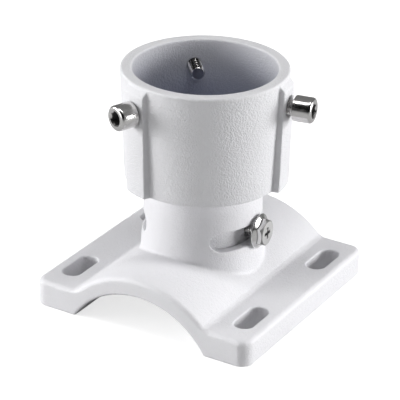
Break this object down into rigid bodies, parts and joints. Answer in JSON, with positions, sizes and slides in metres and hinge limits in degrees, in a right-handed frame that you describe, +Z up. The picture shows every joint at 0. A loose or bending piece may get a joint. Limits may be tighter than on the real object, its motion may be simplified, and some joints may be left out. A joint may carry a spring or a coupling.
{
  "type": "pole-mount camera bracket",
  "caption": "Pole bracket for a camera: a cast saddle base with slotted feet and an arched underside, and a swivelling collar whose side screws clamp the camera's pipe.",
  "frame": {"origin": "on the standing plane of the feet, under the swivel axis", "axes": "+Z up along the swivel and pipe axis, X across the pole from foot to foot, Y along the pole"},
  "size_m": [0.0958, 0.0944, 0.0948],
  "materials": {
    "base_coat": "satin",
    "collar_coat": "satin",
    "cap_screw_steel": "polished",
    "lock_screw_steel": "polished"
  },
  "bodies": {
    "base": {"saddle_base": "base_coat"},
    "swivel": {"collar": "collar_coat"},
    "right_clamp": {"clamp_screw_right": "cap_screw_steel"},
    "left_clamp": {"clamp_screw_left": "cap_screw_steel"},
    "rear_clamp": {"clamp_screw_rear": "cap_screw_steel"},
    "front_lock": {"lock_screw_front": "lock_screw_steel"},
    "back_lock": {"lock_screw_back": "lock_screw_steel"}
  },
  "joints": [
    {"name": "collar_swivel", "type": "hinge", "parent": "base", "child": "swivel", "pos_m": [0, 0, 0.0495], "axis": [0, 0, 1], "range_deg": [-27, 37]},
    {"name": "right_clamp_slide", "type": "slide", "parent": "swivel", "child": "right_clamp", "axis": [0.9863, 0.165, 0], "range_m": [-0.0018, 0.0075]},
    {"name": "left_clamp_slide", "type": "slide", "parent": "swivel", "child": "left_clamp", "axis": [-0.3502, -0.9367, 0], "range_m": [-0.0003, 0.009]},
    {"name": "rear_clamp_slide", "type": "slide", "parent": "swivel", "child": "rear_clamp", "axis": [-0.6361, 0.7716, 0], "range_m": [-0.0003, 0.009]},
    {"name": "front_lock_slide", "type": "slide", "parent": "swivel", "child": "front_lock", "axis": [0.9981, 0.061, 0], "range_m": [0, 0.0025]},
    {"name": "back_lock_slide", "type": "slide", "parent": "swivel", "child": "back_lock", "axis": [-0.9724, 0.2334, 0], "range_m": [0, 0.0025]}
  ]
}
